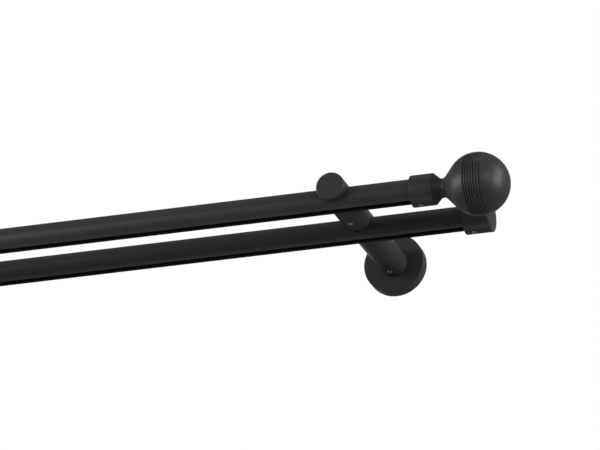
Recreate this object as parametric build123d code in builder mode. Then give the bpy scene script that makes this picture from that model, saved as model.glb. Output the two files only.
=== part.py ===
from build123d import *
from math import cos, radians, sin, sqrt, tan
import os

# Double curtain pole, in millimetres.
# X runs along the poles, Y points into the wall and Z points up.
# The origin lies on the wall, midway between the brackets, at the height of the arms' axes.
os.makedirs("parts", exist_ok=True)

# Poles: round extrusions with a glider rail inside, open along the bottom
pole_diameter = 20.0
pole_wall = 1.3
front_pole_length = 1000.0
slot_width = 8.4
rail_width = 10.8
rail_height = 6.0
rail_wall = 1.0
lip_thickness = 2.1

# Place of the poles on the brackets
rear_projection = 100.0
pole_spacing = 65.5
front_pole_reach = 77.0
rear_pole_reach = 104.5

# Bracket arms: a round bar that lies over the poles, with open seats for them
arm_diameter = 23.0
arm_rise = 6.9
nose_length = 15.3
nose_bevel = 0.6
lip_notch_diameter = 5.3
lip_notch_height = 2.2
tie_rod_diameter = 5.0
tie_rod_grip = 9.5
tie_rod_screw_setback = 26.3

# Wall plate and the rosette that covers it
rosette_diameter = 49.8
rosette_depth = 9.8
rosette_wall = 1.6
rosette_face = 2.0
rosette_edge = 0.5
plate_thickness = 3.5
boss_diameter = 16.0
boss_length = 24.0
wall_hole_diameter = 5.0
wall_hole_sink_diameter = 8.8
arm_screw_setback = 10.1
groove_depth = 1.0

# Grub screws
screw_diameter = 4.0
screw_socket_width = 2.0
screw_socket_depth = 2.0
screw_edge = 0.3
screw_recess = 0.2
screw_mouth_diameter = 5.2

# Ball finial of the front pole: a sleeve on the pole's end and a turned ball
sleeve_wall = 2.6
sleeve_socket_depth = 14.1
sleeve_barrel_length = 18.1
sleeve_edge = 0.7
sleeve_bevel_angle = 42.0
sleeve_screw_place = 6.8
neck_diameter = 15.4
neck_flat = 1.2
neck_edge = 0.15
cove_radius = 3.0
ball_diameter = 50.2
cone_angle = 49.1
groove_count = 7
groove_pitch = 2.05
ball_groove_width = 1.2
ball_groove_depth = 0.45
stud_diameter = 6.0
stud_length = 20.0

# End cap of the rear pole
cap_wall = 3.15
cap_socket_depth = 17.9
cap_end_wall = 3.9
cap_edge = 0.5
cap_screw_place = 7.1

# Clearances
seat_gap = 0.1
sleeve_gap = 0.1
thread_gap = 0.1
boss_gap = 0.1
cover_gap = 0.3
end_gap = 0.1

# Places and radii that follow
pole_radius = pole_diameter / 2
arm_radius = arm_diameter / 2
seat_radius = pole_radius + seat_gap
front_projection = rear_projection + pole_spacing
bracket_x = front_pole_length / 2 - front_pole_reach
rear_pole_length = 2 * (bracket_x + rear_pole_reach)
rail_floor = lip_thickness - sqrt(pole_radius**2 - (slot_width / 2) ** 2)
rail_ceiling = rail_floor + rail_height
socket_radius = pole_radius + sleeve_gap
sleeve_radius = socket_radius + sleeve_wall
cap_radius = socket_radius + cap_wall
neck_radius = neck_diameter / 2
ball_radius = ball_diameter / 2
plate_radius = rosette_diameter / 2 - rosette_wall - cover_gap
wall_hole_offset = (arm_radius + plate_radius) / 2
boss_radius = boss_diameter / 2
tie_rod_z = (arm_radius - arm_rise + seat_radius) / 2
lip_offset = sqrt(seat_radius**2 - (arm_radius - arm_rise) ** 2)
arm_screw_y = -rosette_depth - arm_screw_setback
arm_screw_rise = arm_radius - boss_radius + groove_depth
tie_rod_screw_y = -rear_projection - tie_rod_screw_setback
tie_rod_screw_rise = arm_radius + tie_rod_z - tie_rod_diameter / 2
screw_hole_radius = screw_diameter / 2 + thread_gap
stud_hole_radius = stud_diameter / 2 + thread_gap
tie_hole_radius = tie_rod_diameter / 2 + thread_gap


def save(piece, name):
    """Label a finished piece and write it to its own file."""
    piece.part.label = name
    export_step(piece.part, "parts/" + name + ".step")


def pole(name, projection, length):
    """An extruded pole: tube, web across it, and a rail chamber behind the slot."""
    section_plane = Plane(origin=(-length / 2, -projection, -arm_rise), x_dir=(0, 1, 0), z_dir=(1, 0, 0))
    rail_box_height = pole_radius + rail_ceiling + rail_wall
    with BuildPart() as body:
        with BuildSketch(section_plane):
            Circle(pole_radius)
            Circle(pole_radius - pole_wall, mode=Mode.SUBTRACT)
            with Locations((0, rail_ceiling + rail_wall / 2)):
                Rectangle(pole_diameter, rail_wall)
            with Locations((0, rail_ceiling + rail_wall - rail_box_height / 2)):
                Rectangle(rail_width + 2 * rail_wall, rail_box_height)
            with Locations((0, rail_floor + rail_height / 2)):
                Rectangle(rail_width, rail_height, mode=Mode.SUBTRACT)
            with Locations((0, rail_floor)):
                Rectangle(slot_width, pole_diameter, align=(Align.CENTER, Align.MAX), mode=Mode.SUBTRACT)
            Circle(pole_radius, mode=Mode.INTERSECT)
        extrude(amount=length)
    save(body, name)


def screw_hole(mouth, depth):
    """A tapped hole that rises from the underside of the piece being built."""
    with Locations(Plane(origin=mouth, z_dir=(0, 0, -1))):
        CounterSinkHole(screw_hole_radius, screw_mouth_diameter / 2, depth, counter_sink_angle=90)


def grub_screw(name, mouth, rise):
    """A grub screw in a screw hole, from just inside its mouth up to a height above it."""
    foot = Plane(origin=(mouth[0], mouth[1], mouth[2] + screw_recess), z_dir=(0, 0, 1))
    with BuildPart() as body:
        with BuildSketch(foot):
            Circle(screw_diameter / 2)
        extrude(amount=rise - screw_recess - end_gap)
        chamfer(body.edges().filter_by(GeomType.CIRCLE), screw_edge)
        with BuildSketch(foot):
            RegularPolygon(screw_socket_width / 2, 6, major_radius=False)
        extrude(amount=screw_socket_depth, mode=Mode.SUBTRACT)
    save(body, name)


def seat(x, projection):
    """Cut a pole's seat across an arm, with a half-round notch in the middle of each lip."""
    with BuildSketch(Plane(origin=(x - arm_diameter, -projection, -arm_rise), z_dir=(1, 0, 0))) as bore:
        Circle(seat_radius)
    extrude(bore.sketch, amount=2 * arm_diameter, mode=Mode.SUBTRACT)
    with BuildSketch(Plane(origin=(x, -projection, -arm_radius), z_dir=(0, 0, 1))) as notches:
        with Locations((0, lip_offset), (0, -lip_offset)):
            Circle(lip_notch_diameter / 2)
    extrude(notches.sketch, amount=lip_notch_height, mode=Mode.SUBTRACT)


def bar(x, back, front):
    """The solid round bar of an arm between two distances from the wall."""
    with BuildSketch(Plane(origin=(x, -back, 0), z_dir=(0, -1, 0))) as section:
        Circle(arm_radius)
    extrude(section.sketch, amount=front - back)


def bar_bore(x, z, radius, back, front):
    """A round bore along an arm between two distances from the wall."""
    with BuildSketch(Plane(origin=(x, -back, z), z_dir=(0, -1, 0))) as section:
        Circle(radius)
    extrude(section.sketch, amount=front - back, mode=Mode.SUBTRACT)


def wall_plate(name, x):
    """The plate that is screwed to the wall, with the boss that carries the arm."""
    with BuildPart() as body:
        with BuildSketch(Plane(origin=(x, 0, 0), z_dir=(0, -1, 0))):
            Circle(plate_radius)
        extrude(amount=plate_thickness)
        with BuildSketch(Plane(origin=(x, -plate_thickness, 0), z_dir=(0, -1, 0))):
            Circle(boss_radius)
        extrude(amount=boss_length)
        chamfer(body.faces().sort_by(Axis.Y)[0].edges(), groove_depth)
        groove_width = screw_diameter + 2 * thread_gap
        with BuildSketch(Plane(origin=(x, arm_screw_y - groove_width / 2, 0), z_dir=(0, 1, 0))):
            Circle(boss_radius)
            Circle(boss_radius - groove_depth, mode=Mode.SUBTRACT)
        extrude(amount=groove_width, mode=Mode.SUBTRACT)
        for z in (wall_hole_offset, -wall_hole_offset):
            with Locations(Plane(origin=(x, -plate_thickness, z), z_dir=(0, -1, 0))):
                CounterSinkHole(wall_hole_diameter / 2, wall_hole_sink_diameter / 2, counter_sink_angle=90)
    save(body, name)


def rosette(name, x):
    """The hollow cover round the wall plate, with its opening for the arm."""
    with BuildPart() as body:
        with BuildSketch(Plane(origin=(x, 0, 0), z_dir=(0, -1, 0))):
            Circle(rosette_diameter / 2)
        extrude(amount=rosette_depth)
        front_edge = body.faces().sort_by(Axis.Y)[0].edges()
        fillet(front_edge, rosette_edge)
        with BuildSketch(Plane(origin=(x, 0, 0), z_dir=(0, -1, 0))):
            Circle(rosette_diameter / 2 - rosette_wall)
        extrude(amount=rosette_depth - rosette_face, mode=Mode.SUBTRACT)
        bar_bore(x, 0, arm_radius + seat_gap, 0, rosette_depth)
    save(body, name)


def rear_arm(name, x):
    """The arm from the wall plate to the middle of the rear pole's seat."""
    with BuildPart() as body:
        bar(x, plate_thickness, rear_projection)
        bar_bore(x, 0, boss_radius + boss_gap, plate_thickness, plate_thickness + boss_length + end_gap)
        bar_bore(x, tie_rod_z, tie_hole_radius, rear_projection - tie_rod_grip - end_gap, rear_projection)
        seat(x, rear_projection)
        screw_hole((x, arm_screw_y, -arm_radius), arm_screw_rise)
    save(body, name)


def front_arm(name, x):
    """The arm between the two seats, clamped to both poles by the tie rod."""
    with BuildPart() as body:
        bar(x, rear_projection, front_projection)
        bar_bore(x, tie_rod_z, tie_hole_radius, rear_projection, front_projection)
        seat(x, rear_projection)
        seat(x, front_projection)
        screw_hole((x, tie_rod_screw_y, -arm_radius), arm_radius + tie_rod_z)
    save(body, name)


def arm_nose(name, x):
    """The front end of the arm, which closes the front pole's seat."""
    with BuildPart() as body:
        bar(x, front_projection, front_projection + nose_length)
        chamfer(body.faces().sort_by(Axis.Y)[0].edges(), nose_bevel)
        bar_bore(x, tie_rod_z, tie_hole_radius, front_projection, front_projection + tie_rod_grip + end_gap)
        seat(x, front_projection)
    save(body, name)


def tie_rod(name, x):
    """The rod above both poles that holds nose, front arm and rear arm together."""
    with BuildPart() as body:
        with BuildSketch(Plane(origin=(x, -rear_projection + tie_rod_grip, tie_rod_z), z_dir=(0, -1, 0))):
            Circle(tie_rod_diameter / 2)
        extrude(amount=pole_spacing + 2 * tie_rod_grip)
        chamfer(body.edges().filter_by(GeomType.CIRCLE), screw_edge)
    save(body, name)


# Turned pieces are drawn as half profiles: x along the pole away from the bracket, y as the radius
def turning_plane(side, projection, place):
    """The profile plane of a turned piece, with its origin on a pole's axis."""
    return Plane(
        origin=(side * (bracket_x + place), -projection, -arm_rise),
        x_dir=(side, 0, 0),
        z_dir=(0, -1, 0),
    )


sleeve_place = front_pole_reach + end_gap - sleeve_socket_depth
bevel_angle = radians(sleeve_bevel_angle)
bevel_drop = sleeve_radius - neck_radius - cove_radius * (1 - cos(bevel_angle))
bevel_run = bevel_drop / tan(bevel_angle)
cove_place = sleeve_barrel_length + bevel_run + cove_radius * sin(bevel_angle)
seam_place = sleeve_place + cove_place
stud_place = seam_place - stud_length / 2
cone_slope = radians(cone_angle)
ball_run = (ball_radius + cove_radius - (neck_radius + cove_radius) * cos(cone_slope)) / sin(cone_slope)
ball_reach = neck_flat + ball_run


def finial_sleeve(name, side):
    """The sleeve over the pole's end: barrel, bevel and the cove that runs into the neck."""
    plane = turning_plane(side, front_projection, sleeve_place)
    with BuildPart() as body:
        with BuildSketch(plane):
            with BuildLine():
                Line((0, 0), (0, sleeve_radius - sleeve_edge))
                CenterArc((sleeve_edge, sleeve_radius - sleeve_edge), sleeve_edge, 90, 90)
                Line((sleeve_edge, sleeve_radius), (sleeve_barrel_length, sleeve_radius))
                Line(
                    (sleeve_barrel_length, sleeve_radius),
                    (sleeve_barrel_length + bevel_run, sleeve_radius - bevel_drop),
                )
                cove = CenterArc(
                    (cove_place, neck_radius + cove_radius), cove_radius, 270 - sleeve_bevel_angle, sleeve_bevel_angle
                )
                Line(cove @ 1, (cove_place, 0))
                Line((cove_place, 0), (0, 0))
            make_face()
            Rectangle(sleeve_socket_depth, socket_radius, align=(Align.MIN, Align.MIN), mode=Mode.SUBTRACT)
            Rectangle(cove_place, stud_hole_radius, align=(Align.MIN, Align.MIN), mode=Mode.SUBTRACT)
        revolve(axis=Axis(plane.origin, plane.x_dir))
        screw_hole(sleeve_screw_mouth(side), sleeve_radius)
    save(body, name)


def sleeve_screw_mouth(side):
    """Where the sleeve's screw enters, on the underside of the barrel."""
    x = side * (bracket_x + sleeve_place + sleeve_screw_place)
    return (x, -front_projection, -arm_rise - sleeve_radius)


def finial_ball(name, side):
    """The turned ball with its neck, coved and coned into the sphere, and fine grooves round its middle."""
    plane = turning_plane(side, front_projection, seam_place)
    with BuildPart() as body:
        with BuildSketch(plane):
            with BuildLine():
                Line((0, 0), (0, neck_radius - neck_edge))
                Line((0, neck_radius - neck_edge), (neck_edge, neck_radius))
                Line((neck_edge, neck_radius), (neck_flat, neck_radius))
                cove = CenterArc((neck_flat, neck_radius + cove_radius), cove_radius, 270, cone_angle)
                sphere = CenterArc((ball_reach, 0), ball_radius, 0, 90 + cone_angle)
                Line(cove @ 1, sphere @ 1)
                Line(sphere @ 0, (0, 0))
            make_face()
            Rectangle(stud_length / 2 + end_gap, stud_hole_radius, align=(Align.MIN, Align.MIN), mode=Mode.SUBTRACT)
            for number in range(groove_count):
                offset_x = (number - (groove_count - 1) / 2) * groove_pitch
                with Locations((ball_reach + offset_x, sqrt(ball_radius**2 - offset_x**2))):
                    Polygon(
                        (-ball_groove_width, ball_groove_depth),
                        (0, -ball_groove_depth),
                        (ball_groove_width, ball_groove_depth),
                        align=None,
                        mode=Mode.SUBTRACT,
                    )
        revolve(axis=Axis(plane.origin, plane.x_dir))
    save(body, name)


def finial_stud(name, side):
    """The threaded stud that joins the ball to the sleeve."""
    plane = turning_plane(side, front_projection, stud_place)
    with BuildPart() as body:
        with BuildSketch(Plane(origin=plane.origin, z_dir=plane.x_dir)):
            Circle(stud_diameter / 2)
        extrude(amount=stud_length)
        chamfer(body.edges().filter_by(GeomType.CIRCLE), screw_edge)
    save(body, name)


cap_place = rear_pole_reach + end_gap - cap_socket_depth


def cap_screw_mouth(side):
    """Where the cap's screw enters, on its underside."""
    x = side * (bracket_x + cap_place + cap_screw_place)
    return (x, -rear_projection, -arm_rise - cap_radius)


def rear_cap(name, side):
    """The plain cylindrical cap over the rear pole's end."""
    plane = turning_plane(side, rear_projection, cap_place)
    with BuildPart() as body:
        with BuildSketch(plane):
            Rectangle(cap_socket_depth + cap_end_wall, cap_radius, align=(Align.MIN, Align.MIN))
            Rectangle(cap_socket_depth, socket_radius, align=(Align.MIN, Align.MIN), mode=Mode.SUBTRACT)
        revolve(axis=Axis(plane.origin, plane.x_dir))
        rims = body.edges().filter_by(GeomType.CIRCLE).filter_by(lambda e: e.radius > socket_radius + cap_wall / 2)
        fillet(rims, cap_edge)
        screw_hole(cap_screw_mouth(side), cap_radius)
    save(body, name)


pole("front_pole", front_projection, front_pole_length)
pole("rear_pole", rear_projection, rear_pole_length)

for hand, side in (("left", -1), ("right", 1)):
    arm_x = side * bracket_x
    wall_plate(hand + "_wall_plate", arm_x)
    rosette(hand + "_rosette", arm_x)
    rear_arm(hand + "_rear_arm", arm_x)
    front_arm(hand + "_front_arm", arm_x)
    arm_nose(hand + "_arm_nose", arm_x)
    tie_rod(hand + "_tie_rod", arm_x)
    grub_screw(hand + "_arm_screw", (arm_x, arm_screw_y, -arm_radius), arm_screw_rise)
    grub_screw(hand + "_tie_rod_screw", (arm_x, tie_rod_screw_y, -arm_radius), tie_rod_screw_rise)
    finial_sleeve(hand + "_finial_sleeve", side)
    finial_ball(hand + "_finial_ball", side)
    finial_stud(hand + "_finial_stud", side)
    grub_screw(hand + "_finial_screw", sleeve_screw_mouth(side), sleeve_radius + rail_ceiling)
    rear_cap(hand + "_rear_cap", side)
    grub_screw(hand + "_cap_screw", cap_screw_mouth(side), cap_radius + rail_ceiling)
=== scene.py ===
from math import acos, asin, atan2, cos, degrees, hypot, pi, radians, sin, sqrt, tan

import bpy
from bpy.props import FloatProperty, FloatVectorProperty, IntProperty, PointerProperty, StringProperty
from mathutils import Matrix, Vector


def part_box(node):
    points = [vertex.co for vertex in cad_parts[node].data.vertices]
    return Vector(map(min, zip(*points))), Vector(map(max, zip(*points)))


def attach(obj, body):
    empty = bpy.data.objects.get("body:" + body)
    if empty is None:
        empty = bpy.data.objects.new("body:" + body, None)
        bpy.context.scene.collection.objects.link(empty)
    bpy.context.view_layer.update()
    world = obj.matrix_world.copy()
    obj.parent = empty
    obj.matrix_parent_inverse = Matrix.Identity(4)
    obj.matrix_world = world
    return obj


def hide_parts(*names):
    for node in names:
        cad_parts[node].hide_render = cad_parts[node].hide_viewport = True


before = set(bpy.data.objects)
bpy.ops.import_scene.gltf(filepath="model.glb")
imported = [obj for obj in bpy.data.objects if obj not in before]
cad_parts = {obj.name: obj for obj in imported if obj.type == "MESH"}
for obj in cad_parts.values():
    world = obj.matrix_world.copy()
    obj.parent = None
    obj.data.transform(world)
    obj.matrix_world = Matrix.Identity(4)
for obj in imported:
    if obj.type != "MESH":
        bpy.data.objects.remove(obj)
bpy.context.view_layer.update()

bl_info = {
    "name": "Double Curtain Pole",
    "version": (1, 0, 0),
    "blender": (4, 5, 0),
    "location": "3D View > Sidebar > Curtain Pole",
    "description": "Dresses a double curtain pole: slotted poles, wall brackets, ball finials and caps",
    "category": "Object",
}

MM = 0.001
SIDES = (("left", -1), ("right", 1))

# Edges sharper than these stay crisp; the ball's is wider, so that the grooves' mouths shade as rounded
SMOOTH_ANGLE = radians(32)
BALL_SMOOTH_ANGLE = radians(50)

# Segments round balls and rosettes, round sleeves and caps, and round screws and their holes
LARGE_SEGMENTS = 192
SMALL_SEGMENTS = 160
SCREW_SEGMENTS = 48

# Degrees from point to point on the arcs of a section or a half profile
POLE_STEP = 1.5
BALL_STEP = 2
HOLLOW_STEP = 3
COVE_STEP = 4
EDGE_STEP = 10

# A turned piece's points that are nearer than this to its axis lie on it
ON_AXIS = 0.0001 * MM
# A pole's points that are nearer together than this are one
WELD = 0.001 * MM

# A slot edge's points, across and up, as shares of its rounding
LIP_SHAPE = ((0.25, 0.12), (0, 0.9))
# A groove's points, across and deep, as shares of its width and depth: soft mouths, steep sides, flat foot
GROOVE_SHAPE = ((-0.5, 0), (-0.4, 0.08), (-0.12, 1), (0.12, 1), (0.4, 0.08), (0.5, 0))

# Chance turns of the grub screws about their axes
SCREW_TURN_SEED = 7

# Soft boxes: azimuth and elevation in degrees, with azimuth 0 in front and 90 on the right, and watts.
# The three on the left make one broad light, the high one on the right reaches over the ball to the arms,
# and the one above is faint
SOFT_BOXES = {
    "left_front_soft_box": (-46, 4, 19.0),
    "left_soft_box": (-68, 4, 16.0),
    "left_side_soft_box": (-93, 4, 8.0),
    "right_soft_box": (84, 2, 32.0),
    "right_high_soft_box": (92, 28, 16.0),
    "right_front_soft_box": (42, 6, 10.0),
    "top_soft_box": (0, 80, 3.5),
}


# Colours and materials


def linear(code):
    """An sRGB hex colour as linear red, green, blue and full alpha."""
    channels = [int(code[i:i + 2], 16) / 255 for i in (1, 3, 5)]
    return [c / 12.92 if c <= 0.04045 else ((c + 0.055) / 1.055) ** 2.4 for c in channels] + [1.0]


def add(tree, kind, values=None, links=None, **settings):
    """Add a node to a tree, set its own settings and input values, and link outputs into its inputs."""
    node = tree.nodes.new(kind)
    for key, value in settings.items():
        setattr(node, key, value)
    for key, value in (values or {}).items():
        node.inputs[key].default_value = value
    for key, source in (links or {}).items():
        tree.links.new(source, node.inputs[key])
    return node


def new_material(name, shader_values):
    """A material with its Principled shader; the patterns are linked in by the caller."""
    material = bpy.data.materials.new(name)
    material.use_nodes = True
    tree = material.node_tree
    tree.nodes.clear()
    shader = add(tree, "ShaderNodeBsdfPrincipled", shader_values)
    add(tree, "ShaderNodeOutputMaterial", links={"Surface": shader.outputs["BSDF"]})
    place = add(tree, "ShaderNodeTexCoord")
    return material, tree, shader, place.outputs["Object"]


def every(spacing):
    """The noise scale that gives features of a size in millimetres."""
    return 1 / (spacing * MM)


def surface(tree, shader, tint, shades, gloss, roughness, relief, depth, strength):
    """Link three patterns into a shader: one drifts between two close shades, one between two roughnesses,
    and one is relief of a depth in metres, at a strength of up to 1."""
    drift = add(tree, "ShaderNodeMix", {"A": linear(shades[0]), "B": linear(shades[1])}, {"Factor": tint},
                data_type="RGBA")
    rough = add(tree, "ShaderNodeMapRange", {"To Min": roughness[0], "To Max": roughness[1]},
                {"Value": gloss})
    bump = add(tree, "ShaderNodeBump", {"Distance": depth, "Strength": strength}, {"Height": relief})
    tree.links.new(drift.outputs["Result"], shader.inputs["Base Color"])
    tree.links.new(rough.outputs["Result"], shader.inputs["Roughness"])
    tree.links.new(bump.outputs["Normal"], shader.inputs["Normal"])


# A matt coat's skin mirrors less than a polished one of the same IOR, and it is no metal to the eye
MATT_COAT = {"Specular IOR Level": 0.22, "Metallic": 0.0}


def coated_extrusion(name, colours):
    """Powder coat on extruded aluminium: matt black, with faint die lines and slow drifts of gloss."""
    material, tree, shader, place = new_material(name, MATT_COAT)
    # Die lines: 0.5 mm apart across the pole and a third of a metre long
    along = add(tree, "ShaderNodeMapping", {"Scale": (every(333.3), every(0.5), every(0.5))},
                {"Vector": place})
    lines = add(tree, "ShaderNodeTexNoise", {"Scale": 1.0, "Detail": 3.0},
                {"Vector": along.outputs["Vector"]})
    # Slow drift: patches of 60 mm along the pole and 17 mm round it
    slow = add(tree, "ShaderNodeMapping", {"Scale": (every(62.5), every(16.67), every(16.67))},
               {"Vector": place})
    drift = add(tree, "ShaderNodeTexNoise", {"Scale": 1.0, "Detail": 2.0},
                {"Vector": slow.outputs["Vector"]})
    surface(tree, shader, drift.outputs["Fac"], (colours.pole_dark, colours.pole_light),
            drift.outputs["Fac"], (0.37, 0.44), lines.outputs["Fac"], 0.02 * MM, 0.25)
    return material


def coated_turning(name, colours):
    """Powder coat on turned aluminium: an even matt black skin with a barely seen grain."""
    material, tree, shader, place = new_material(name, MATT_COAT)
    # Coat grain: 0.6 mm, drawn three times coarser than the real 0.2 mm so that it shows
    grain = add(tree, "ShaderNodeTexNoise", {"Scale": every(0.625), "Detail": 2.0, "Roughness": 0.6},
                {"Vector": place})
    # Clouds of gloss: 22 mm
    cloud = add(tree, "ShaderNodeTexNoise", {"Scale": every(22.22), "Detail": 2.0}, {"Vector": place})
    surface(tree, shader, cloud.outputs["Fac"], (colours.bracket_dark, colours.bracket_light),
            cloud.outputs["Fac"], (0.37, 0.44), grain.outputs["Fac"], 0.03 * MM, 0.2)
    return material


def lacquered_turning(name, colours):
    """Lacquer on turned aluminium: satin black and silky, with the cutter's fine rings round the axis."""
    material, tree, shader, place = new_material(name, MATT_COAT)
    # Cutter rings: 0.3 mm apart along the axis, drawn three times coarser than the real feed of 0.1 mm
    across = add(tree, "ShaderNodeMapping", {"Scale": (every(0.303), every(83.33), every(83.33))},
                 {"Vector": place})
    rings = add(tree, "ShaderNodeTexNoise", {"Scale": 1.0, "Detail": 2.0},
                {"Vector": across.outputs["Vector"]})
    # Clouds of gloss: 20 mm
    cloud = add(tree, "ShaderNodeTexNoise", {"Scale": every(20), "Detail": 2.0}, {"Vector": place})
    surface(tree, shader, cloud.outputs["Fac"], (colours.ball_dark, colours.ball_light),
            cloud.outputs["Fac"], (0.37, 0.43), rings.outputs["Fac"], 0.01 * MM, 0.25)
    return material


def zinc_plated_steel(name, colours):
    """Zinc plating on rolled steel: silvery, faintly clouded by the plating bath, with rolled lines."""
    material, tree, shader, place = new_material(name, {"Metallic": 1.0})
    # Clouds of the plating bath: 6 mm
    cloud = add(tree, "ShaderNodeTexNoise", {"Scale": every(6.25), "Detail": 3.0, "Roughness": 0.55},
                {"Vector": place})
    # Rolled lines: 0.45 mm apart and 25 mm long
    along = add(tree, "ShaderNodeMapping", {"Scale": (every(0.4545), every(25), every(0.4545))},
                {"Vector": place})
    rolled = add(tree, "ShaderNodeTexNoise", {"Scale": 1.0, "Detail": 3.0},
                 {"Vector": along.outputs["Vector"]})
    surface(tree, shader, cloud.outputs["Fac"], (colours.plating_dark, colours.plating_light),
            rolled.outputs["Fac"], (0.28, 0.46), rolled.outputs["Fac"], 0.01 * MM, 0.3)
    return material


def blackened_screw_steel(name, colours):
    """Blackened steel of the grub screws, with a painted highlight: the faces that look down, the rims, are
    coloured bright steel.
    """
    # Half metal, half black oxide
    material, tree, shader, place = new_material(name, {"Metallic": 0.5})
    face = add(tree, "ShaderNodeNewGeometry")
    facing = add(tree, "ShaderNodeSeparateXYZ", links={"Vector": face.outputs["Normal"]})
    # Painted highlight mask: 1 where a face looks down, 0 where it stands upright
    rim = add(tree, "ShaderNodeMapRange", {"From Min": -0.6, "From Max": -0.3, "To Min": 1.0, "To Max": 0.0},
              {"Value": facing.outputs["Z"]})
    # Wear: 1.1 mm patches, so that each rim's painted highlight is a little uneven
    wear = add(tree, "ShaderNodeTexNoise", {"Scale": every(1.111), "Detail": 3.0}, {"Vector": place})
    worn = add(tree, "ShaderNodeMapRange", {"To Min": 0.85, "To Max": 1.0}, {"Value": wear.outputs["Fac"]})
    # The painted highlight: bright steel colour on the down-facing rims, a little uneven by wear
    rim_glint = add(tree, "ShaderNodeMath", links={0: rim.outputs["Result"], 1: worn.outputs["Result"]},
                 operation="MULTIPLY")
    surface(tree, shader, rim_glint.outputs["Value"], (colours.screw_dark, colours.screw_glint),
            wear.outputs["Fac"], (0.3, 0.45), wear.outputs["Fac"], 0.005 * MM, 0.3)
    return material


# The material slots of the record, each with its material's name and maker
FINISHES = {
    "pole_black": ("black_powder_coat_on_extruded_aluminium", coated_extrusion),
    "bracket_black": ("black_powder_coat_on_turned_aluminium", coated_turning),
    "ball_black": ("black_lacquer_on_turned_aluminium", lacquered_turning),
    "plated_steel": ("zinc_plated_steel", zinc_plated_steel),
    # The screws' down-facing rims carry a painted highlight
    "screw_steel": ("blackened_steel_with_painted_glint_rims", blackened_screw_steel),
}


def finish(slot):
    """The material of a slot, made once from the colours in the scene's settings."""
    name, maker = FINISHES[slot]
    return bpy.data.materials.get(name) or maker(name, bpy.context.scene.pole_colours)


# Meshes and pieces


def pole_axis(node, radius):
    """Y and Z of a pole's axis, from its node's box: the slot is below, so the top gives the height."""
    low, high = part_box(node)
    return (low.y + high.y) / 2, high.z - radius


def smooth(mesh, angle=SMOOTH_ANGLE):
    """Shade a mesh smooth, with edges sharper than an angle kept crisp."""
    mesh.shade_smooth()
    mesh.set_sharp_from_angle(angle=angle)


def place_piece(mesh, name, slot, nodes):
    """Make an object of a finished mesh, ride it on the one body and let it stand for its CAD nodes."""
    mesh.name = name
    mesh.materials.clear()
    mesh.materials.append(finish(slot))
    piece = bpy.data.objects.new(name, mesh)
    bpy.context.scene.collection.objects.link(piece)
    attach(piece, "root")
    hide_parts(*nodes)


def dress_node(name, slot):
    """Give a CAD node its material."""
    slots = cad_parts[name].data.materials
    slots.clear()
    slots.append(finish(slot))


def arc(centre, radius, start, sweep, step):
    """Points of an arc from its start through its sweep, at most a step apart, all in degrees."""
    count = max(2, int(abs(sweep) / step) + 1)
    return [
        (centre[0] + radius * cos(radians(start + sweep * i / count)),
         centre[1] + radius * sin(radians(start + sweep * i / count)))
        for i in range(count + 1)
    ]


def turned_mesh(profile, origin, direction, segments):
    """Turn a closed half profile of (along, radius) points round an axis into a watertight mesh.

    Points on the axis become single vertices, and faces point outwards.
    """
    along = Vector(direction).normalized()
    first = along.orthogonal().normalized()
    second = along.cross(first)
    angles = [2 * pi * i / segments for i in range(segments)]
    verts, rings = [], []
    for station, radius in profile:
        centre = Vector(origin) + along * station
        if radius < ON_AXIS:
            rings.append([len(verts)])
            verts.append(centre)
        else:
            rings.append(list(range(len(verts), len(verts) + segments)))
            verts += [centre + (first * cos(t) + second * sin(t)) * radius for t in angles]
    faces = []
    pairs = list(zip(rings, rings[1:]))
    if len(rings[0]) > 1 and len(rings[-1]) > 1:
        pairs.append((rings[-1], rings[0]))
    for near, far in pairs:
        if len(near) == 1 and len(far) == 1:
            continue
        for i in range(segments):
            j = (i + 1) % segments
            corners = [near[i % len(near)], near[j % len(near)], far[j % len(far)], far[i % len(far)]]
            faces.append(list(dict.fromkeys(corners)))
    mesh = bpy.data.meshes.new("turned")
    mesh.from_pydata(verts, [], faces)
    mesh.validate()
    return outward(mesh)


def outward(mesh):
    """Turn a closed mesh's faces so that its volume is positive."""
    mesh.calc_loop_triangles()
    volume = sum(
        mesh.vertices[a].co.dot(mesh.vertices[b].co.cross(mesh.vertices[c].co))
        for a, b, c in (t.vertices for t in mesh.loop_triangles)
    )
    if volume < 0:
        mesh.flip_normals()
    return mesh


def drilled(mesh, mouth, depth, sizes):
    """Cut a countersunk screw hole upwards into a mesh, from its mouth on the underside."""
    hole, rim, proud = sizes.hole_diameter / 2, sizes.mouth_diameter / 2, 1 * MM
    profile = [(-proud, 0), (-proud, rim + proud), (rim - hole, hole), (depth, hole), (depth, 0)]
    cutter_mesh = turned_mesh(profile, mouth, (0, 0, 1), SCREW_SEGMENTS)
    body, cutter = (bpy.data.objects.new(n, m) for n, m in (("body", mesh), ("cutter", cutter_mesh)))
    for item in (body, cutter):
        bpy.context.scene.collection.objects.link(item)
    cut = body.modifiers.new("hole", "BOOLEAN")
    cut.operation, cut.solver, cut.object = "DIFFERENCE", "EXACT", cutter
    bpy.context.view_layer.update()
    graph = bpy.context.evaluated_depsgraph_get()
    result = bpy.data.meshes.new_from_object(body.evaluated_get(graph))
    for item in (body, cutter):
        bpy.data.objects.remove(item)
    return result


# Geometry Nodes trees


def node_group(name, inputs):
    """A Geometry Nodes tree with named inputs of (name, socket type) and one geometry output."""
    tree = bpy.data.node_groups.new(name, "GeometryNodeTree")
    for label, kind in inputs:
        tree.interface.new_socket(label, in_out="INPUT", socket_type=kind)
    tree.interface.new_socket("Geometry", in_out="OUTPUT", socket_type="NodeSocketGeometry")
    return tree, add(tree, "NodeGroupInput")


def close_group(tree, geometry, material):
    """End a tree in Realize Instances and Set Material."""
    real = add(tree, "GeometryNodeRealizeInstances", links={"Geometry": geometry})
    dressed = add(tree, "GeometryNodeSetMaterial",
                  links={"Geometry": real.outputs["Geometry"], "Material": material})
    add(tree, "NodeGroupOutput", links={"Geometry": dressed.outputs["Geometry"]})


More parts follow.
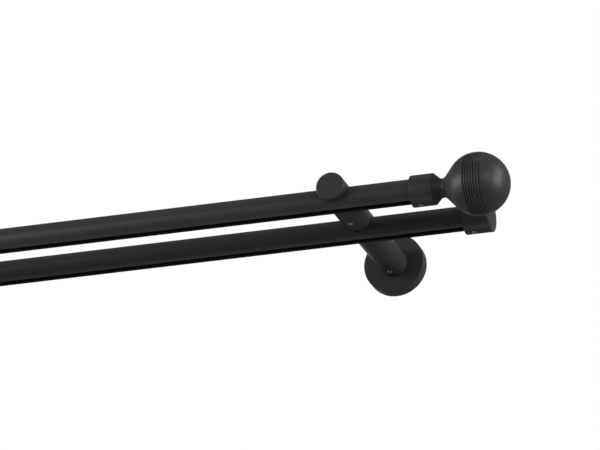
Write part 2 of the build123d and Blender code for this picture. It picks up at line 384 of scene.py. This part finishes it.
def grown_mesh(tree, source, values):
    """Run a tree on a source object's data and give back the plain mesh."""
    holder = bpy.data.objects.new("holder", source)
    bpy.context.scene.collection.objects.link(holder)
    modifier = holder.modifiers.new("nodes", "NODES")
    modifier.node_group = tree
    for item in tree.interface.items_tree:
        if item.in_out == "INPUT" and item.name in values:
            modifier[item.identifier] = values[item.name]
    bpy.context.view_layer.update()
    graph = bpy.context.evaluated_depsgraph_get()
    mesh = bpy.data.meshes.new_from_object(holder.evaluated_get(graph))
    holder.modifiers.remove(modifier)
    bpy.data.objects.remove(holder)
    if not mesh.polygons:
        raise RuntimeError("a node tree gave no faces")
    return mesh


def outline_mesh(loops):
    """Closed loops of points in one plane as a mesh of edges."""
    verts, edges = [], []
    for loop in loops:
        start = len(verts)
        verts += loop
        edges += [(start + i, start + (i + 1) % len(loop)) for i in range(len(loop))]
    mesh = bpy.data.meshes.new("outline")
    mesh.from_pydata(verts, edges, [])
    return mesh


def extrusion_tree():
    """Fill a flat outline, draw it out to its length with both ends closed, and lay it along X."""
    tree, given = node_group("extruded_pole", [
        ("Geometry", "NodeSocketGeometry"),
        ("Length", "NodeSocketFloat"),
        ("Place", "NodeSocketVector"),
        ("Material", "NodeSocketMaterial"),
    ])
    curve = add(tree, "GeometryNodeMeshToCurve", links={"Mesh": given.outputs["Geometry"]})
    start = add(tree, "GeometryNodeFillCurve", links={"Curve": curve.outputs["Curve"]})
    offset = add(tree, "ShaderNodeCombineXYZ", links={"Z": given.outputs["Length"]})
    drawn = add(tree, "GeometryNodeExtrudeMesh", {"Individual": False, "Offset Scale": 1.0},
                {"Mesh": start.outputs["Mesh"], "Offset": offset.outputs["Vector"]}, mode="FACES")
    other = add(tree, "GeometryNodeFlipFaces", links={"Mesh": start.outputs["Mesh"]})
    both = add(tree, "GeometryNodeJoinGeometry")
    tree.links.new(other.outputs["Mesh"], both.inputs["Geometry"])
    tree.links.new(drawn.outputs["Mesh"], both.inputs["Geometry"])
    welded = add(tree, "GeometryNodeMergeByDistance", {"Distance": WELD},
                 {"Geometry": both.outputs["Geometry"]})
    laid = add(tree, "GeometryNodeTransform", {"Rotation": (pi / 2, 0, pi / 2)},
               {"Geometry": welded.outputs["Geometry"], "Translation": given.outputs["Place"]})
    close_group(tree, laid.outputs["Geometry"], given.outputs["Material"])
    return tree


def scatter_tree():
    """Put the pattern screw at each point of the source, each turned about its axis by chance."""
    tree, given = node_group("grub_screws", [
        ("Geometry", "NodeSocketGeometry"),
        ("Screw", "NodeSocketObject"),
        ("Material", "NodeSocketMaterial"),
    ])
    screw = add(tree, "GeometryNodeObjectInfo", {"As Instance": True}, {"Object": given.outputs["Screw"]})
    points = add(tree, "GeometryNodeMeshToPoints", links={"Mesh": given.outputs["Geometry"]})
    turn = add(tree, "FunctionNodeRandomValue", {"Max": 2 * pi, "Seed": SCREW_TURN_SEED}, data_type="FLOAT")
    placed = add(tree, "GeometryNodeInstanceOnPoints",
                 links={"Points": points.outputs["Points"], "Instance": screw.outputs["Geometry"]})
    turned = add(tree, "GeometryNodeRotateInstances", links={"Instances": placed.outputs["Instances"]})
    angle = add(tree, "ShaderNodeCombineXYZ", links={"Z": turn.outputs[1]})
    tree.links.new(angle.outputs["Vector"], turned.inputs["Rotation"])
    close_group(tree, turned.outputs["Instances"], given.outputs["Material"])
    return tree


# Settings


def measure(name, description, millimetres):
    """A length setting, with its default in millimetres."""
    return FloatProperty(name=name, description=description, default=millimetres * MM, unit="LENGTH")


def colour(name, description, code):
    """A colour setting, as an sRGB hex value."""
    return StringProperty(name=name, description=description, default=code)


class PoleSizes(bpy.types.PropertyGroup):
    """Sizes of the two extruded poles."""

    diameter: measure("Diameter", "Outer diameter of both poles", 20)
    wall: measure("Wall", "Thickness of the tube", 1.3)
    slot_width: measure("Slot width", "Width of the open slot below", 8.4)
    rail_width: measure("Rail width", "Inner width of the glider chamber", 10.8)
    rail_height: measure("Rail height", "Inner height of the glider chamber", 6)
    rail_wall: measure("Rail wall", "Thickness of the chamber's walls", 1)
    lip_thickness: measure("Lip thickness", "Height of the lips beside the slot", 2.1)
    lip_round: measure("Lip rounding", "Rounding of the slot's outer edges", 0.35)


class FinialSizes(bpy.types.PropertyGroup):
    """Sizes of the ball finial, its sleeve and the rear pole's cap."""

    ball_diameter: measure("Ball diameter", "Diameter of the ball", 50.2)
    groove_count: IntProperty(
        name="Grooves", description="Grooves round the middle of the ball", default=7, min=1)
    groove_pitch: measure("Groove pitch", "Distance between grooves", 2.05)
    groove_width: measure("Groove width", "Width of a groove at its mouth", 1.25)
    groove_depth: measure("Groove depth", "Depth of the grooves", 0.9)
    neck_diameter: measure("Neck diameter", "Narrowest part between sleeve and ball", 15.4)
    neck_flat: measure("Neck flat", "Straight part of the ball's neck", 0.6)
    neck_edge: measure("Neck edge", "Broken edge at the seam", 0.15)
    cove_radius: measure("Cove radius", "Radius of the hollows at the neck", 3.6)
    barrel_length: measure("Barrel length", "Cylindrical part of the sleeve", 18.1)
    bevel_angle: FloatProperty(
        name="Bevel angle", description="Slope of the sleeve's bevel", default=radians(42), subtype="ANGLE")
    socket_depth: measure("Sleeve socket", "How far the pole goes into the sleeve", 14.1)
    cap_socket_depth: measure("Cap socket", "How far the pole goes into the cap", 17.9)
    socket_gap: measure("Socket gap", "Clearance round the pole", 0.1)
    sleeve_edge: measure("Sleeve edge", "Rounding of the sleeve's corners", 0.25)
    cap_edge: measure("Cap edge", "Rounding of the cap's rims", 0.5)
    stud_hole: measure("Stud hole", "Bore for the stud between sleeve and ball", 6.2)
    stud_depth: measure("Stud depth", "Depth of the stud's bore in the ball", 10.1)


class BracketSizes(bpy.types.PropertyGroup):
    """Sizes of the wall brackets."""

    arm_diameter: measure("Arm diameter", "Diameter of the arms", 23)
    rosette_wall: measure("Rosette wall", "Side wall of the rosette", 1.6)
    rosette_face: measure("Rosette face", "Front wall of the rosette", 2)
    rosette_edge: measure("Rosette edge", "Rounding of the rosette's front rim", 0.5)
    seat_gap: measure("Seat gap", "Clearance round the arm", 0.1)


class ScrewSizes(bpy.types.PropertyGroup):
    """Sizes of the grub screws and their holes."""

    diameter: measure("Diameter", "Diameter of the screws", 4)
    hole_diameter: measure("Hole diameter", "Bore of the screw holes", 4.2)
    mouth_diameter: measure("Mouth diameter", "Countersink of the screw holes", 5.2)
    edge: measure("Edge", "Chamfer at both ends", 0.2)
    socket_edge: measure("Socket edge", "Broken edge of the hexagon socket", 0.1)
    socket_width: measure("Socket width", "Across the flats of the hexagon socket", 2)
    socket_depth: measure("Socket depth", "Depth of the hexagon socket", 2)


class FinishColours(bpy.types.PropertyGroup):
    """Colours of the finishes, as sRGB hex values."""

    pole_dark: colour("Pole, dark", "Darker shade of the poles", "#2E2E2E")
    pole_light: colour("Pole, light", "Lighter shade of the poles", "#333333")
    bracket_dark: colour("Bracket, dark", "Darker shade of brackets, sleeves and caps", "#2E2E2E")
    bracket_light: colour("Bracket, light", "Lighter shade of brackets, sleeves and caps", "#333333")
    ball_dark: colour("Ball, dark", "Darker shade of the balls", "#2E2E2E")
    ball_light: colour("Ball, light", "Lighter shade of the balls", "#333333")
    plating_dark: colour("Plating, dark", "Darker shade of the zinc plating", "#A6A9AC")
    plating_light: colour("Plating, light", "Lighter shade of the zinc plating", "#C4C7C9")
    screw_dark: colour("Screw, dark", "Blackened steel of the screws", "#2B2B2B")
    # Painted highlight: the bright steel colour painted on the screws' down-facing rims
    screw_glint: colour("Screw, light", "Bare steel on the screws' rims", "#D6D6D4")
    floor: colour("Floor", "Pale studio floor", "#F1F1EF")


class StudioSettings(bpy.types.PropertyGroup):
    """Camera, light and floor."""

    camera_place: FloatVectorProperty(
        name="Camera", description="Place of the camera", default=(2.0024, -5.2187, -2.1788), unit="LENGTH")
    camera_azimuth: FloatProperty(
        name="Camera azimuth", description="Turn of the view from straight ahead", default=radians(17.659),
        subtype="ANGLE")
    camera_elevation: FloatProperty(
        name="Camera elevation", description="How far the view looks up", default=radians(22.117),
        subtype="ANGLE")
    lens: FloatProperty(
        name="Lens", description="Focal length for a 36 mm sensor", default=438.0, unit="CAMERA")
    lamp_distance: measure("Lamp distance", "From each soft box to where all of them aim", 2100)
    lamp_width: measure("Lamp width", "Width of each soft box", 1000)
    lamp_height: measure("Lamp height", "Height of each soft box", 800)
    lamp_aim: measure("Lamp aim", "How far out from the wall the soft boxes aim", 130)
    floor_height: FloatProperty(
        name="Floor height", description="Height of the floor", default=-2.3, unit="LENGTH")
    floor_size: measure("Floor size", "Side of the floor", 1600)
    floor_glow: FloatProperty(
        name="Floor glow", description="How far the floor is lifted towards white", default=0.65, min=0)
    sky: FloatProperty(
        name="Sky", description="Strength of the soft light from all round", default=0.18, min=0)
    paper_direction: FloatVectorProperty(
        name="Paper", description="Direction of the white paper backdrop", default=(-0.281, 0.883, 0.376),
        subtype="DIRECTION")
    paper_spread: FloatProperty(
        name="Paper spread", description="Half angle that the paper takes up", default=radians(24),
        subtype="ANGLE")


# Operators


class CURTAIN_POLE_OT_studio(bpy.types.Operator):
    """Camera, soft light and pale floor"""

    bl_idname = "curtain_pole.studio"
    bl_label = "Studio"

    def execute(self, context):
        studio = context.scene.pole_studio
        self.camera(context, studio)
        self.world(context, studio)
        for name, (azimuth, elevation, power) in SOFT_BOXES.items():
            self.soft_box(context, studio, name, azimuth, elevation, power)
        self.floor(context, studio)
        context.scene.view_settings.view_transform = "Standard"
        return {"FINISHED"}

    def camera(self, context, studio):
        """The photo's camera, which looks up from below on the right."""
        data = bpy.data.cameras.new("camera")
        data.sensor_width, data.lens = 36.0, studio.lens
        data.clip_start, data.clip_end = 0.1, 100.0
        camera = bpy.data.objects.new("camera", data)
        context.scene.collection.objects.link(camera)
        turn, rise = studio.camera_azimuth, studio.camera_elevation
        forward = Vector((-sin(turn) * cos(rise), cos(turn) * cos(rise), sin(rise)))
        right = Vector((cos(turn), sin(turn), 0))
        above = right.cross(forward)
        camera.matrix_world = Matrix.Translation(studio.camera_place) @ Matrix(
            (right, above, -forward)).transposed().to_4x4()
        context.scene.camera = camera

    def world(self, context, studio):
        """Soft light from all round, white to the camera, and a white paper for shiny surfaces to mirror."""
        world = bpy.data.worlds.new("studio")
        world.use_nodes = True
        tree = world.node_tree
        tree.nodes.clear()
        path = add(tree, "ShaderNodeLightPath")
        sight = add(tree, "ShaderNodeTexCoord")
        towards = add(tree, "ShaderNodeVectorMath", {1: studio.paper_direction},
                      {0: sight.outputs["Generated"]}, operation="DOT_PRODUCT")
        paper = add(tree, "ShaderNodeMapRange",
                    {"From Min": cos(studio.paper_spread), "From Max": cos(studio.paper_spread / 2)},
                    {"Value": towards.outputs["Value"]}, interpolation_type="SMOOTHSTEP")
        mirrored = add(tree, "ShaderNodeMath", operation="MAXIMUM",
                       links={0: path.outputs["Is Glossy Ray"], 1: path.outputs["Is Transmission Ray"]})
        on_paper = add(tree, "ShaderNodeMath", operation="MULTIPLY",
                       links={0: mirrored.outputs["Value"], 1: paper.outputs["Result"]})
        seen = add(tree, "ShaderNodeMath", operation="MAXIMUM",
                   links={0: path.outputs["Is Camera Ray"], 1: on_paper.outputs["Value"]})
        strength = add(tree, "ShaderNodeMapRange", {"To Min": studio.sky, "To Max": 1.0},
                       {"Value": seen.outputs["Value"]})
        light = add(tree, "ShaderNodeBackground", {"Color": (1, 1, 1, 1)},
                    {"Strength": strength.outputs["Result"]})
        add(tree, "ShaderNodeOutputWorld", links={"Surface": light.outputs["Background"]})
        context.scene.world = world

    def soft_box(self, context, studio, name, azimuth, elevation, power):
        """A lamp that the camera doesn't see, aimed between the poles near the right ball's neck."""
        turn, rise = radians(azimuth), radians(elevation)
        direction = Vector((sin(turn) * cos(rise), -cos(turn) * cos(rise), sin(rise)))
        data = bpy.data.lights.new(name, "AREA")
        data.shape, data.energy = "RECTANGLE", power
        data.size, data.size_y = studio.lamp_width, studio.lamp_height
        lamp = bpy.data.objects.new(name, data)
        context.scene.collection.objects.link(lamp)
        aim = Vector((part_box("right_finial_ball")[0].x, -studio.lamp_aim, 0))
        lamp.location = aim + direction * studio.lamp_distance
        lamp.rotation_mode = "QUATERNION"
        lamp.rotation_quaternion = direction.to_track_quat("Z", "Y")
        lamp.visible_camera = False

    def floor(self, context, studio):
        """A pale matt floor. Little light reaches it, so a glow lifts it towards white."""
        half, height = studio.floor_size / 2, studio.floor_height
        mesh = bpy.data.meshes.new("floor")
        corners = [(x * half, y * half, height) for x, y in ((-1, -1), (1, -1), (1, 1), (-1, 1))]
        mesh.from_pydata(corners, [], [(0, 1, 2, 3)])
        pale = linear(context.scene.pole_colours.floor)
        material, tree, shader, place = new_material(
            "pale_matt_floor",
            {"Base Color": pale, "Emission Color": pale, "Roughness": 0.9, "Specular IOR Level": 0.2})
        # Rolled paint: a grain of 3 mm
        grain = add(tree, "ShaderNodeTexNoise", {"Scale": every(3.03), "Detail": 2.0}, {"Vector": place})
        bump = add(tree, "ShaderNodeBump", {"Distance": 0.2 * MM, "Strength": 0.2},
                   {"Height": grain.outputs["Fac"]})
        tree.links.new(bump.outputs["Normal"], shader.inputs["Normal"])
        # Only the camera and what shiny surfaces mirror see the glow, so it gives no soft light
        path = add(tree, "ShaderNodeLightPath")
        mirrored = add(tree, "ShaderNodeMath", operation="MAXIMUM",
                       links={0: path.outputs["Is Glossy Ray"], 1: path.outputs["Is Transmission Ray"]})
        seen = add(tree, "ShaderNodeMath", operation="MAXIMUM",
                   links={0: path.outputs["Is Camera Ray"], 1: mirrored.outputs["Value"]})
        glow = add(tree, "ShaderNodeMapRange", {"To Min": 0.0, "To Max": studio.floor_glow},
                   {"Value": seen.outputs["Value"]})
        tree.links.new(glow.outputs["Result"], shader.inputs["Emission Strength"])
        mesh.materials.append(material)
        floor = bpy.data.objects.new("floor", mesh)
        context.scene.collection.objects.link(floor)


class CURTAIN_POLE_OT_poles(bpy.types.Operator):
    """The two extruded poles with the rail chamber inside"""

    bl_idname = "curtain_pole.poles"
    bl_label = "Poles"

    def execute(self, context):
        tree = extrusion_tree()
        radius = context.scene.pole_sizes.diameter / 2
        for node in ("front_pole", "rear_pole"):
            low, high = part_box(node)
            y, z = pole_axis(node, radius)
            loops = [[(u, v, 0) for u, v in loop] for loop in self.section(context.scene.pole_sizes)]
            values = {"Length": high.x - low.x, "Place": (low.x, y, z), "Material": finish("pole_black")}
            mesh = grown_mesh(tree, outline_mesh(loops), values)
            smooth(outward(mesh))
            place_piece(mesh, node + "_extrusion", "pole_black", [node])
        return {"FINISHED"}

    def section(self, sizes):
        """Loops of the section: the outside with the open chamber, and the hollows above and beside it."""
        radius, inner = sizes.diameter / 2, sizes.diameter / 2 - sizes.wall
        half_slot, half_rail, wall = sizes.slot_width / 2, sizes.rail_width / 2, sizes.rail_wall
        foot = -sqrt(radius ** 2 - half_slot ** 2)
        floor = foot + sizes.lip_thickness
        ceiling = floor + sizes.rail_height
        lip = sizes.lip_round
        start = degrees(atan2(foot, half_slot)) + degrees(lip / radius)
        outside = arc((0, 0), radius, start, 180 - 2 * start, POLE_STEP)
        # Slot edge rounded between the outside and the slot's side
        corner = [(half_slot + lip * across, foot + lip * up) for across, up in LIP_SHAPE]
        left = [(-u, v) for u, v in corner]
        chamber = [
            (-half_slot, floor), (-half_rail, floor), (-half_rail, ceiling),
            (half_rail, ceiling), (half_rail, floor), (half_slot, floor),
        ]
        whole = outside + left + chamber + corner[::-1]
        web = ceiling + wall
        level = degrees(asin(web / inner))
        above = arc((0, 0), inner, level, 180 - 2 * level, HOLLOW_STEP)
        side = half_rail + wall
        low_end = degrees(-acos(side / inner))
        high_end = degrees(asin(ceiling / inner))
        beside = arc((0, 0), inner, low_end, high_end - low_end, HOLLOW_STEP) + [(side, ceiling)]
        return [whole, above, beside, [(-u, v) for u, v in beside[::-1]]]


class CURTAIN_POLE_OT_balls(bpy.types.Operator):
    """The turned ball finials, each with a cone, grooves round its middle and a cove at its neck"""

    bl_idname = "curtain_pole.balls"
    bl_label = "Ball finials"

    def execute(self, context):
        sizes = context.scene.pole_finials
        y, z = pole_axis("front_pole", context.scene.pole_sizes.diameter / 2)
        for hand, side in SIDES:
            low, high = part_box(hand + "_finial_ball")
            seam = low.x if side > 0 else high.x
            profile = self.profile(sizes, high.x - low.x)
            mesh = turned_mesh(profile, (seam, y, z), (side, 0, 0), LARGE_SEGMENTS)
            smooth(mesh, BALL_SMOOTH_ANGLE)
            place_piece(mesh, hand + "_turned_ball", "ball_black", [hand + "_finial_ball"])
        return {"FINISHED"}

    def profile(self, sizes, length):
        """Half profile from the stud's bore over the neck, cove, cone and grooves to the ball's far end."""
        radius, neck, cove = sizes.ball_diameter / 2, sizes.neck_diameter / 2, sizes.cove_radius
        reach = length - radius
        run, rise = reach - sizes.neck_flat, neck + cove
        # Slope of the cone that touches both the cove and the ball
        slope = degrees(asin((radius + cove) / hypot(run, rise)) - atan2(rise, run))
        bore = sizes.stud_hole / 2
        points = [(sizes.stud_depth, 0), (sizes.stud_depth, bore), (0, bore)]
        points += [(0, neck - sizes.neck_edge), (sizes.neck_edge, neck)]
        points += arc((sizes.neck_flat, rise), cove, 270, slope, COVE_STEP)
        first = (1 - sizes.groove_count) / 2 * sizes.groove_pitch
        grooves = [
            (first + i * sizes.groove_pitch + across * sizes.groove_width, deep * sizes.groove_depth)
            for i in range(sizes.groove_count)
            for across, deep in GROOVE_SHAPE
        ]
        edge = degrees(acos(-grooves[0][0] / radius))
        points += arc((reach, 0), radius, 90 + slope, 90 - slope - edge, BALL_STEP)[:-1]
        points += [(reach + offset, sqrt(radius ** 2 - offset ** 2) - depth) for offset, depth in grooves]
        points += arc((reach, 0), radius, edge, -edge, BALL_STEP)[1:-1] + [(length, 0)]
        return points


class CURTAIN_POLE_OT_sleeves(bpy.types.Operator):
    """The sleeves between the front pole and its balls"""

    bl_idname = "curtain_pole.sleeves"
    bl_label = "Finial sleeves"

    def execute(self, context):
        sizes = context.scene.pole_finials
        radius = context.scene.pole_sizes.diameter / 2
        y, z = pole_axis("front_pole", radius)
        for hand, side in SIDES:
            node = hand + "_finial_sleeve"
            low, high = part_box(node)
            start = low.x if side > 0 else high.x
            profile = self.profile(sizes, radius, high, low)
            mesh = turned_mesh(profile, (start, y, z), (side, 0, 0), SMALL_SEGMENTS)
            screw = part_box(hand + "_finial_screw")
            mouth = ((screw[0].x + screw[1].x) / 2, y, low.z)
            mesh = drilled(mesh, mouth, high.z - z, context.scene.pole_screws)
            smooth(mesh)
            place_piece(mesh, hand + "_turned_sleeve", "bracket_black", [node])
        return {"FINISHED"}

    def profile(self, sizes, radius, high, low):
        """Half profile of the sleeve: the pole's socket, the barrel, the bevel and a cove at the neck."""
        outer, length, neck = (high.z - low.z) / 2, high.x - low.x, sizes.neck_diameter / 2
        cove, angle, edge = sizes.cove_radius, degrees(sizes.bevel_angle), sizes.sleeve_edge
        socket, bore = radius + sizes.socket_gap, sizes.stud_hole / 2
        bevel_start = sizes.barrel_length - edge * tan(radians(angle) / 2)
        points = [(length, bore), (sizes.socket_depth, bore), (sizes.socket_depth, socket), (0, socket)]
        points += arc((edge, outer - edge), edge, 180, -90, EDGE_STEP)
        points += arc((bevel_start, outer - edge), edge, 90, -angle, EDGE_STEP)
        points += arc((length, neck + cove), cove, 270 - angle, angle, COVE_STEP)
        return points


class CURTAIN_POLE_OT_caps(bpy.types.Operator):
    """The plain caps on the rear pole's ends"""

    bl_idname = "curtain_pole.caps"
    bl_label = "End caps"

    def execute(self, context):
        sizes = context.scene.pole_finials
        radius = context.scene.pole_sizes.diameter / 2
        y, z = pole_axis("rear_pole", radius)
        for hand, side in SIDES:
            node = hand + "_rear_cap"
            low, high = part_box(node)
            start = low.x if side > 0 else high.x
            outer, length, edge = (high.z - low.z) / 2, high.x - low.x, sizes.cap_edge
            socket = radius + sizes.socket_gap
            profile = [(sizes.cap_socket_depth, 0), (sizes.cap_socket_depth, socket), (0, socket)]
            profile += arc((edge, outer - edge), edge, 180, -90, EDGE_STEP)
            profile += arc((length - edge, outer - edge), edge, 90, -90, EDGE_STEP) + [(length, 0)]
            mesh = turned_mesh(profile, (start, y, z), (side, 0, 0), SMALL_SEGMENTS)
            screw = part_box(hand + "_cap_screw")
            mouth = ((screw[0].x + screw[1].x) / 2, y, low.z)
            mesh = drilled(mesh, mouth, high.z - z, context.scene.pole_screws)
            smooth(mesh)
            place_piece(mesh, hand + "_turned_cap", "bracket_black", [node])
        return {"FINISHED"}


class CURTAIN_POLE_OT_rosettes(bpy.types.Operator):
    """The hollow rosettes that cover the wall plates"""

    bl_idname = "curtain_pole.rosettes"
    bl_label = "Rosettes"

    def execute(self, context):
        sizes = context.scene.pole_brackets
        for hand, _ in SIDES:
            node = hand + "_rosette"
            low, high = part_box(node)
            outer, depth, edge = (high.z - low.z) / 2, high.y - low.y, sizes.rosette_edge
            hole, inner = sizes.arm_diameter / 2 + sizes.seat_gap, outer - sizes.rosette_wall
            ceiling = depth - sizes.rosette_face
            profile = [(depth, hole), (ceiling, hole), (ceiling, inner), (0, inner), (0, outer)]
            profile += arc((depth - edge, outer - edge), edge, 90, -90, EDGE_STEP)
            origin = ((low.x + high.x) / 2, high.y, (low.z + high.z) / 2)
            mesh = turned_mesh(profile, origin, (0, -1, 0), LARGE_SEGMENTS)
            smooth(mesh)
            place_piece(mesh, hand + "_covering_rosette", "bracket_black", [node])
        return {"FINISHED"}


class CURTAIN_POLE_OT_arms(bpy.types.Operator):
    """The arms: the CAD shapes, powder coated"""

    bl_idname = "curtain_pole.arms"
    bl_label = "Arms"

    def execute(self, context):
        for hand, _ in SIDES:
            for part in ("rear_arm", "front_arm", "arm_nose"):
                dress_node(hand + "_" + part, "bracket_black")
        return {"FINISHED"}


class CURTAIN_POLE_OT_hardware(bpy.types.Operator):
    """The hidden plates, tie rods and studs in plated steel"""

    bl_idname = "curtain_pole.hardware"
    bl_label = "Hidden hardware"

    def execute(self, context):
        for hand, _ in SIDES:
            for part in ("wall_plate", "tie_rod", "finial_stud"):
                dress_node(hand + "_" + part, "plated_steel")
        return {"FINISHED"}


class CURTAIN_POLE_OT_screws(bpy.types.Operator):
    """The grub screws with hexagon sockets"""

    bl_idname = "curtain_pole.screws"
    bl_label = "Grub screws"

    def execute(self, context):
        tree = scatter_tree()
        for kind in ("arm", "tie_rod", "finial", "cap"):
            nodes = [hand + "_" + kind + "_screw" for hand, _ in SIDES]
            boxes = [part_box(node) for node in nodes]
            length = boxes[0][1].z - boxes[0][0].z
            points = [((low.x + high.x) / 2, (low.y + high.y) / 2, low.z) for low, high in boxes]
            source = bpy.data.meshes.new("places")
            source.from_pydata(points, [], [])
            pattern = bpy.data.objects.new("pattern", self.screw(context.scene.pole_screws, length))
            mesh = grown_mesh(tree, source, {"Screw": pattern, "Material": finish("screw_steel")})
            bpy.data.objects.remove(pattern)
            smooth(mesh)
            place_piece(mesh, kind + "_grub_screws", "screw_steel", nodes)
        return {"FINISHED"}

    def screw(self, sizes, length):
        """One screw, standing on the origin with its socket below."""
        radius, edge, reach = sizes.diameter / 2, sizes.edge, sizes.socket_width / 2
        if reach / cos(pi / 6) > radius - edge:
            raise RuntimeError("the socket is wider than the screw")
        verts, faces = [], []

        def level(height, size=None):
            """Points round the axis at a height: a circle of a given size, or else the socket's hexagon."""
            start = len(verts)
            for i in range(SCREW_SEGMENTS):
                turn = 2 * pi * i / SCREW_SEGMENTS
                out = size or reach / cos((turn + pi / 6) % (pi / 3) - pi / 6)
                verts.append((out * cos(turn), out * sin(turn), height))
            return list(range(start, start + SCREW_SEGMENTS))

        levels = [
            level(sizes.socket_depth), level(sizes.socket_edge),
            level(0, radius - edge), level(edge, radius),
            level(length - edge, radius), level(length, radius - edge),
        ]
        for near, far in zip(levels, levels[1:]):
            for i in range(SCREW_SEGMENTS):
                j = (i + 1) % SCREW_SEGMENTS
                faces.append((near[i], near[j], far[j], far[i]))
        faces.append(tuple(levels[0]))
        faces.append(tuple(reversed(levels[-1])))
        mesh = bpy.data.meshes.new("grub_screw")
        mesh.from_pydata(verts, [], faces)
        return outward(mesh)


# Panel and start


class CURTAIN_POLE_PT_panel(bpy.types.Panel):
    """Settings and build steps of the curtain pole"""

    bl_idname = "CURTAIN_POLE_PT_panel"
    bl_label = "Double Curtain Pole"
    bl_space_type = "VIEW_3D"
    bl_region_type = "UI"
    bl_category = "Curtain Pole"

    def draw(self, context):
        for operator in OPERATORS:
            self.layout.operator(operator.bl_idname)
        for name, _ in SETTINGS:
            group = getattr(context.scene, name)
            box = self.layout.box()
            box.label(text=group.bl_rna.description)
            for key in group.__annotations__:
                box.prop(group, key)


SETTINGS = (
    ("pole_sizes", PoleSizes),
    ("pole_finials", FinialSizes),
    ("pole_brackets", BracketSizes),
    ("pole_screws", ScrewSizes),
    ("pole_colours", FinishColours),
    ("pole_studio", StudioSettings),
)
OPERATORS = (
    CURTAIN_POLE_OT_studio,
    CURTAIN_POLE_OT_poles,
    CURTAIN_POLE_OT_balls,
    CURTAIN_POLE_OT_sleeves,
    CURTAIN_POLE_OT_caps,
    CURTAIN_POLE_OT_rosettes,
    CURTAIN_POLE_OT_arms,
    CURTAIN_POLE_OT_hardware,
    CURTAIN_POLE_OT_screws,
)


def register():
    for name, group in SETTINGS:
        bpy.utils.register_class(group)
        setattr(bpy.types.Scene, name, PointerProperty(type=group))
    for item in OPERATORS + (CURTAIN_POLE_PT_panel,):
        bpy.utils.register_class(item)


def unregister():
    for item in (CURTAIN_POLE_PT_panel,) + OPERATORS[::-1]:
        bpy.utils.unregister_class(item)
    for name, group in SETTINGS[::-1]:
        delattr(bpy.types.Scene, name)
        bpy.utils.unregister_class(group)


def main():
    """Build everything in order."""
    register()
    for operator in OPERATORS:
        group, name = operator.bl_idname.split(".")
        getattr(getattr(bpy.ops, group), name)()


if __name__ == "__main__":
    main()
